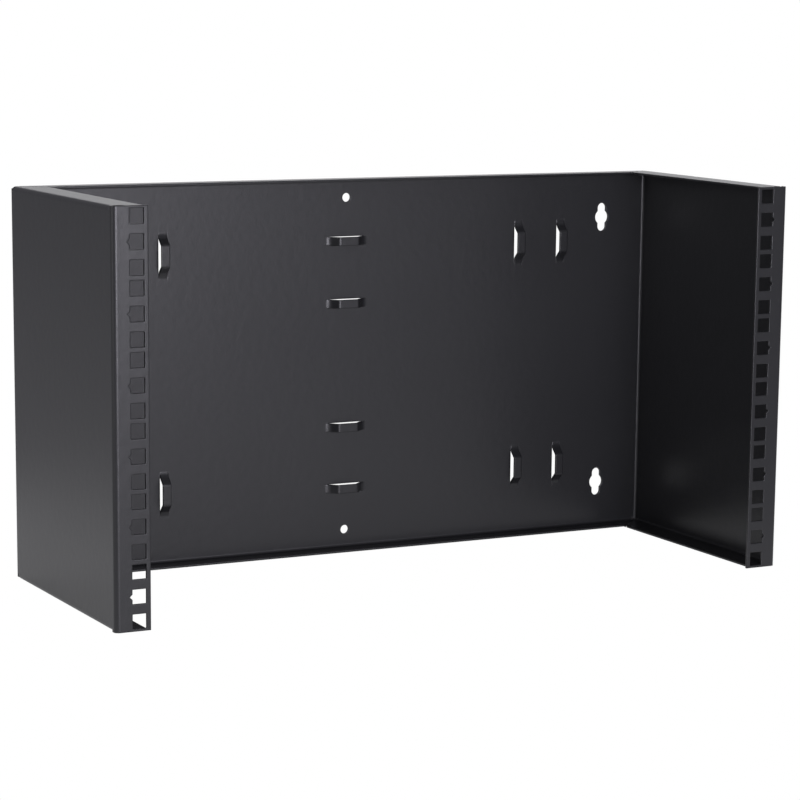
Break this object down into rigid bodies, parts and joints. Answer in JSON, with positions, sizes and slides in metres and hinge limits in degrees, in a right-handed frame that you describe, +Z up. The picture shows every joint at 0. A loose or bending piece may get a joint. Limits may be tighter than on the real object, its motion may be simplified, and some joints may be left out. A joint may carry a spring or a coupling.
{
  "type": "wall mount open frame rack",
  "caption": "Open wall mount frame folded from black steel sheet, with square-hole rack rails, lips along its edges, keyholes and cable tie bridges in the back.",
  "frame": {"origin": "centre of the wall face of the back panel", "axes": "+Z up as hung, +Y into the wall, -Y towards the person facing the rails, +X to their right"},
  "size_m": [0.4978, 0.1842, 0.2666],
  "materials": {
    "powder_coat": "black powder coat with a fine texture, semi-gloss"
  },
  "bodies": {
    "root": {"folded_frame": "powder_coat"}
  },
  "joints": []
}
